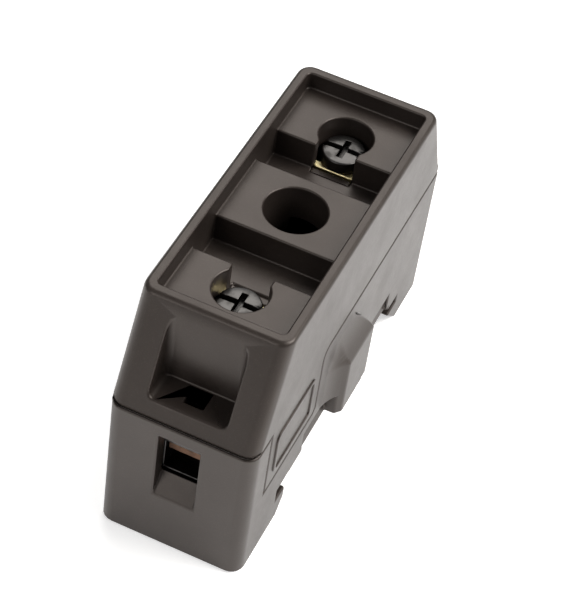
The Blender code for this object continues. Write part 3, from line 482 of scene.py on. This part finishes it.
def threaded(name: str, centre: Vector, low: float, high: float, root: float, crest: float,
             pitch: float) -> bpy.types.Mesh:
    """A screw thread: the radius at angle a and height z is the root plus a ridge that climbs one pitch a turn.

    The ridge is a triangle wave of z / pitch - a / (2 pi), flattened at its crest and faded to the root over
    the last turn at the tip.

    Args:
        name: The mesh's name.
        centre: A point on the axis, which is upright.
        low: The height of the tip.
        high: The height where the thread meets the head.
        root: The radius between the ridges.
        crest: The radius at the top of the ridges.
        pitch: The height that the ridge climbs in a turn.

    Returns:
        The closed mesh.
    """
    rows = int((high - low) / pitch * THREAD_RINGS_PER_TURN)
    angle = np.linspace(0.0, 2.0 * math.pi, THREAD_COLUMNS, endpoint=False)[None, :]
    height = np.linspace(low, high, rows)[:, None]
    phase = (height - low) / pitch - angle / (2.0 * math.pi)
    wave = np.clip(1.35 * (1.0 - np.abs(2.0 * (phase % 1.0) - 1.0)) - 0.15, 0.0, 1.0)
    fade = np.clip((height - low) / (1.2 * pitch), 0.0, 1.0)
    taper = 0.75 + 0.25 * fade
    radius = (root + (crest - root) * wave * fade) * taper
    parts = [radius * np.cos(angle), radius * np.sin(angle), np.repeat(height, THREAD_COLUMNS, axis=1)]
    lift = np.array([centre.x, centre.y, 0.0])
    return skin(name, np.stack(parts, axis=-1) + lift)


def coil(name: str, start: Vector, length: float, radius: float, wire: float, turns: float) -> bpy.types.Mesh:
    """A coil spring along Y whose end turns lie close together.

    The wire's middle is at angle 2 pi n, with its distance along Y a smooth step of n, so that the pitch is
    small at both ends and even between. A ring of the wire's radius stands square to the path at each point.

    Args:
        name: The mesh's name.
        start: The middle of the coil's first end.
        length: Its length along Y.
        radius: The radius of the wire's middle.
        wire: The wire's own radius.
        turns: The number of turns.

    Returns:
        The closed mesh.
    """
    step = np.linspace(0.0, 1.0, int(turns * COIL_RINGS_PER_TURN))
    dead = 1.0 / turns
    eased = np.interp(step, [0.0, dead, 1.0 - dead, 1.0], [0.0, 0.09, 0.91, 1.0])
    angle = 2.0 * math.pi * turns * step
    inner = length - 2.0 * wire
    path = np.stack([radius * np.cos(angle), wire + inner * eased, radius * np.sin(angle)], axis=1)
    tangent = np.gradient(path, axis=0)
    tangent /= np.linalg.norm(tangent, axis=1, keepdims=True)
    outward = np.stack([np.cos(angle), np.zeros_like(angle), np.sin(angle)], axis=1)
    side = np.cross(tangent, outward)
    turn = np.linspace(0.0, 2.0 * math.pi, COIL_SIDES, endpoint=False)
    ring = outward[:, None, :] * np.cos(turn)[None, :, None] + side[:, None, :] * np.sin(turn)[None, :, None]
    return skin(name, path[:, None, :] + wire * ring + np.array(start))


@dataclass
class Piece:
    """One finished piece: a mesh that rides on a body, stands for a CAD node and wears a finish."""

    name: str
    body: str
    finish: Finish
    stands_for: str | None = None

    def dress(self, made: bpy.types.Object) -> bpy.types.Object:
        """Gives an object its material in a slot and its body, and hides the CAD node it stands for.

        Args:
            made: The object, in place.

        Returns:
            The same object.
        """
        made.data.materials.clear()
        made.data.materials.append(self.finish.material())
        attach(made, self.body)
        if self.stands_for:
            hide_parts(self.stands_for)
        LOG.info("%s: %d faces on %s", self.name, len(made.data.polygons), self.body)
        return made


@dataclass
class Softened(Piece):
    """A copy of a CAD node whose triangles are merged and whose edges are rounded."""

    radius: float = 0.25 * MM
    segments: int = 3
    angle: float = 32.0
    shrink_below: float | None = None
    shrink: float = 1.0

    def merged(self) -> bpy.types.Mesh:
        """A merged copy of the CAD node's mesh with its flat faces whole.

        Returns:
            The new mesh, its shank drawn in towards its axis below shrink_below if that is set.
        """
        bm = bmesh.new()
        bm.from_mesh(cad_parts[self.stands_for].data)
        bmesh.ops.remove_doubles(bm, verts=bm.verts, dist=MERGE_DISTANCE)
        bmesh.ops.dissolve_limit(bm, angle_limit=math.radians(FLAT_DEGREES), verts=bm.verts, edges=bm.edges)
        if self.shrink_below is not None:
            low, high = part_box(self.stands_for)
            axis = (Vector(low) + Vector(high)) / 2.0
            for vert in bm.verts:
                if vert.co.z < self.shrink_below:
                    vert.co.x = axis.x + (vert.co.x - axis.x) * self.shrink
                    vert.co.y = axis.y + (vert.co.y - axis.y) * self.shrink
        mesh = bpy.data.meshes.new(self.name)
        bm.to_mesh(mesh)
        bm.free()
        return mesh

    def build(self) -> bpy.types.Object:
        """Makes the softened piece.

        Returns:
            The dressed object.
        """
        made = add_object(self.name, self.merged())
        made.data.shade_smooth()
        bevel = made.modifiers.new("edges", "BEVEL")
        bevel.width = self.radius
        bevel.segments = self.segments
        bevel.limit_method = "ANGLE"
        bevel.angle_limit = math.radians(self.angle)
        bevel.use_clamp_overlap = False
        bevel.loop_slide = False
        bevel.miter_outer = "MITER_SHARP"
        weighted = made.modifiers.new("shading", "WEIGHTED_NORMAL")
        weighted.mode = "FACE_AREA_WITH_ANGLE"
        weighted.weight = 100
        weighted.keep_sharp = False
        return self.dress(made)


# ---------------------------------------------------------------- sub-assemblies


@dataclass
class Mouldings:
    """The base and the carrier, the two black shells of the holder."""

    edge: float = 0.40 * MM
    frame_middle: tuple[float, float] = (-24.6 * MM, 23.2 * MM)
    frame_half: tuple[float, float] = (7.6 * MM, 4.6 * MM)

    def build(self) -> None:
        """Makes both shells with rounded edges, and the plain raised frame on each skirt."""
        for node, body in (("base_moulding", "base"), ("carrier_moulding", "carrier")):
            Softened(node + "_shell", body, Finish.black_thermoset, node, radius=self.edge).build()
        low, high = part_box("carrier_moulding")
        y, z = self.frame_middle
        for hand, x, side in (("left", low[0], -1.0), ("right", high[0], 1.0)):
            name = "skirt_frame_" + hand
            mesh = raised_frame(name, Vector((x, y, z)), *self.frame_half, side)
            Piece(name, "carrier", Finish.black_thermoset).dress(add_object(name, mesh))


@dataclass
class FuseLink:
    """The bolted-tag link in the carrier: glazed tube, two caps, two slotted tags and the strip."""

    bore: float = 4.3 * MM
    cap_rim: float = 1.35 * MM
    cap_corner: float = 0.7 * MM
    groove_depth: float = 0.22 * MM
    groove_width: float = 1.1 * MM
    edge: float = 0.15 * MM

    def build(self) -> None:
        """Makes the link's pieces."""
        low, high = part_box("fuse_barrel")
        middle = (Vector(low) + Vector(high)) / 2.0
        self.build_tube(middle, (high[2] - low[2]) / 2.0, (high[1] - low[1]) / 2.0)
        for end in ENDS:
            self.build_cap(end, middle)
            Softened("fuse_tag_blade_" + end, "carrier", Finish.tinned_copper, "fuse_tag_" + end,
                     radius=self.edge).build()
        Softened("fuse_strip", "carrier", Finish.silver, "fuse_element", radius=0.02 * MM, segments=1).build()

    def build_tube(self, middle: Vector, radius: float, half: float) -> None:
        """Makes the glazed tube, with a shallow neck under each cap and a bore through it.

        Args:
            middle: The middle of the link.
            radius: The tube's outer radius.
            half: Half its length.
        """
        cap_low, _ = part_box("fuse_cap_far")
        neck = cap_low[1] - 0.3 * MM
        inner = radius - 0.9 * MM
        outer = [(self.bore, half), (inner - 0.3 * MM, half), (inner, half - 0.3 * MM),
                 (inner, neck + 0.1 * MM), (radius - 0.35 * MM, neck), (radius, neck - 0.35 * MM)]
        mirrored = [(r, -y) for r, y in reversed(outer)]
        mesh = turned("fuse_tube", outer + mirrored, middle, "Y", looped=True)
        Piece("fuse_tube", "carrier", Finish.ceramic, "fuse_barrel").dress(add_object("fuse_tube", mesh))

    def build_cap(self, end: str, middle: Vector) -> None:
        """Makes a cap with a rolled rim, a crimp groove and a rounded end.

        Args:
            end: "near" or "far".
            middle: The middle of the link.
        """
        low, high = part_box("fuse_cap_" + end)
        side = 1.0 if end == "far" else -1.0
        outer = max(abs(low[1]), abs(high[1]))
        inner = min(abs(low[1]), abs(high[1]))
        radius = (high[2] - low[2]) / 2.0
        mouth = radius - self.cap_rim + self.edge
        groove = np.linspace(0.0, 1.0, 9)
        bend = np.linspace(0.0, math.pi / 2.0, 6)
        corner = self.cap_corner
        profile = [(mouth, outer - 0.9 * MM), (mouth, inner), (radius - self.edge, inner),
                   (radius, inner + self.edge), (radius, inner + 0.7 * MM)]
        start = inner + 0.9 * MM
        profile += [(radius - self.groove_depth * math.sin(math.pi * t), start + self.groove_width * t)
                    for t in groove]
        profile += [(radius - corner + corner * math.cos(t), outer - corner + corner * math.sin(t))
                    for t in bend]
        profile += [(radius * 0.45, outer), (radius * 0.42, outer - 0.08 * MM), (0.3 * MM, outer - 0.08 * MM)]
        signed = [(r, side * y) for r, y in profile]
        mesh = turned("fuse_end_cap_" + end, signed, middle, "Y")
        piece = Piece("fuse_end_cap_" + end, "carrier", Finish.tinned_copper, "fuse_cap_" + end)
        piece.dress(add_object(piece.name, mesh))


@dataclass
class Screws:
    """The fuse screws with their nuts, and the clamp screws, all with real threads.

    fuse and clamp each give a head's height, a shank's radius and a thread's pitch.
    """

    fuse: tuple[float, float, float] = (2.6 * MM, 2.0 * MM, 0.7 * MM)
    clamp: tuple[float, float, float] = (2.2 * MM, 2.5 * MM, 0.8 * MM)
    depth: float = 0.35 * MM
    core_share: float = 0.94

    def build(self) -> None:
        """Makes every screw and nut."""
        for end in ENDS:
            self.build_screw("fuse_screw_" + end, *self.fuse)
            self.build_screw("clamp_screw_" + end, *self.clamp)
            Softened("fuse_nut_body_" + end, "fuse_nut_" + end, Finish.zinc_steel, "fuse_nut_" + end,
                     radius=0.3 * MM).build()

    def build_screw(self, node: str, head: float, shank: float, pitch: float) -> None:
        """Makes a screw's head from the CAD node and wraps its shank in a thread.

        Args:
            node: The screw's CAD node and body.
            head: The height of its head.
            shank: The radius of its shank.
            pitch: The thread's pitch.
        """
        low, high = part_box(node)
        under = high[2] - head
        core = shank - self.depth
        Softened(node + "_head", node, Finish.dark_steel, node, radius=0.12 * MM, segments=2,
                 shrink_below=under - 0.05 * MM, shrink=core * self.core_share / shank).build()
        centre = (Vector(low) + Vector(high)) / 2.0
        mesh = threaded(node + "_thread", centre, low[2], under, core, shank + 0.05 * MM, pitch)
        Piece(node + "_thread", node, Finish.dark_steel).dress(add_object(node + "_thread", mesh))


@dataclass
class Contacts:
    """The metal of the current path and the springs and cages round it."""

    edge: float = 0.15 * MM

    def build(self) -> None:
        """Makes the blades, jaws, bands and cages with their broken edges."""
        for end in ENDS:
            rows = (("carrier_contact_", "carrier", Finish.brass, 0.2 * MM),
                    # The base contacts wear the darkened copper, which paints the shade inside the wire
                    # entries.
                    ("base_contact_", "base", Finish.copper, self.edge),
                    ("jaw_spring_", "base", Finish.spring_steel, self.edge),
                    ("clamp_cage_", "clamp_cage_" + end, Finish.dark_steel, 0.2 * MM))
            for stem, body, finish, radius in rows:
                Softened(stem + end + "_metal", body, finish, stem + end, radius=radius).build()


@dataclass
class RailClip:
    """The sprung slider under the base and its coil; the coil rides on the base and keeps its shape, though the
    real one squeezes as the slider is pulled out.
    """

    turns: float = 7.0
    wire: float = 0.22 * MM
    pull: float = 4.0 * MM

    def build(self) -> None:
        """Makes the slider and the coil."""
        Softened("rail_clip_slider", "rail_clip", Finish.clip_nylon, "rail_clip", radius=0.3 * MM).build()
        low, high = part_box("clip_spring")
        length = high[1] - low[1]
        radius = (high[0] - low[0]) / 2.0 - self.wire
        start = Vector(((low[0] + high[0]) / 2.0, low[1], (low[2] + high[2]) / 2.0))
        mesh = coil("clip_coil", start, length, radius, self.wire, self.turns)
        piece = Piece("clip_coil", "base", Finish.spring_steel, "clip_spring")
        made = piece.dress(add_object(piece.name, mesh))
        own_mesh(made)


# ---------------------------------------------------------------- studio


@dataclass
class Studio:
    """The pale floor, the soft lights and the camera."""

    azimuth: float = 17.8
    elevation: float = 45.87
    roll: float = 9.2
    distance: float = 394.0 * MM
    lens: float = 131.0
    aim: Vector = field(default_factory=lambda: Vector((0.0, 0.0, 25.5 * MM)))

    def build(self) -> None:
        """Makes the floor, the lights, the world and the camera."""
        self.build_floor()
        self.build_world()
        self.add_softbox("key", (0.9, 0.35, 1.1), 0.9, 26.0, (1.0, 0.98, 0.95))
        self.add_softbox("top", (-0.25, 0.75, 1.0), 0.8, 7.0, (1.0, 0.98, 0.95))
        self.add_softbox("front", (-0.5, -1.2, 0.8), 0.7, 5.5, (1.0, 0.98, 0.96))
        self.build_camera()

    def build_floor(self) -> None:
        """Makes a large pale floor that is a little brighter than its light alone would make it."""
        bm = bmesh.new()
        bmesh.ops.create_grid(bm, x_segments=1, y_segments=1, size=4.0)
        mesh = bpy.data.meshes.new("floor")
        bm.to_mesh(mesh)
        bm.free()
        floor = add_object("floor", mesh)
        graph = Graph("floor_look")
        graph.set(Base_Color=(0.90, 0.90, 0.90), Roughness=0.9, Emission_Color=(1.0, 1.0, 1.0),
                  Emission_Strength=0.55)
        floor.data.materials.append(graph.material)

    def build_world(self) -> None:
        """Fills the room with dim light."""
        world = bpy.data.worlds.new("room")
        world.use_nodes = True
        back = world.node_tree.nodes["Background"]
        back.inputs["Color"].default_value = (0.97, 0.98, 1.0, 1.0)
        back.inputs["Strength"].default_value = 0.16
        bpy.context.scene.world = world

    def add_softbox(self, name: str, place: tuple[float, float, float], size: float, power: float,
                    colour: Colour) -> None:
        """Adds a square area light aimed at the holder.

        Args:
            name: The light's name.
            place: Where it stands, in metres.
            size: The length of its side.
            power: Its power in watts.
            colour: Its colour.
        """
        data = bpy.data.lights.new(name, "AREA")
        data.shape = "SQUARE"
        data.size = size
        data.energy = power
        data.color = colour
        light = bpy.data.objects.new(name, data)
        light.location = place
        light.rotation_euler = (self.aim - Vector(place)).to_track_quat("-Z", "Y").to_euler()
        bpy.context.scene.collection.objects.link(light)

    def build_camera(self) -> None:
        """Places the camera on its azimuth and elevation, aimed at the middle of the holder."""
        turn, rise = math.radians(self.azimuth), math.radians(self.elevation)
        back = Vector((math.sin(turn) * math.cos(rise), -math.cos(turn) * math.cos(rise), math.sin(rise)))
        data = bpy.data.cameras.new("camera")
        data.lens = self.lens
        data.clip_start = 0.01
        camera = bpy.data.objects.new("camera", data)
        camera.location = self.aim + back * self.distance
        level = (-back).to_track_quat("-Z", "Y")
        camera.rotation_mode = "QUATERNION"
        camera.rotation_quaternion = level @ Matrix.Rotation(math.radians(self.roll), 4, "Z").to_quaternion()
        bpy.context.scene.collection.objects.link(camera)
        bpy.context.scene.camera = camera
        bpy.context.scene.view_settings.view_transform = "Standard"


def main() -> None:
    """Builds every sub-assembly in order and reports each piece."""
    logging.basicConfig(level=logging.INFO, format="%(name)s %(message)s")
    for part in (Mouldings(), FuseLink(), Screws(), Contacts(), RailClip(), Studio()):
        LOG.info("building %s", type(part).__name__)
        part.build()


if __name__ == "__main__":
    main()
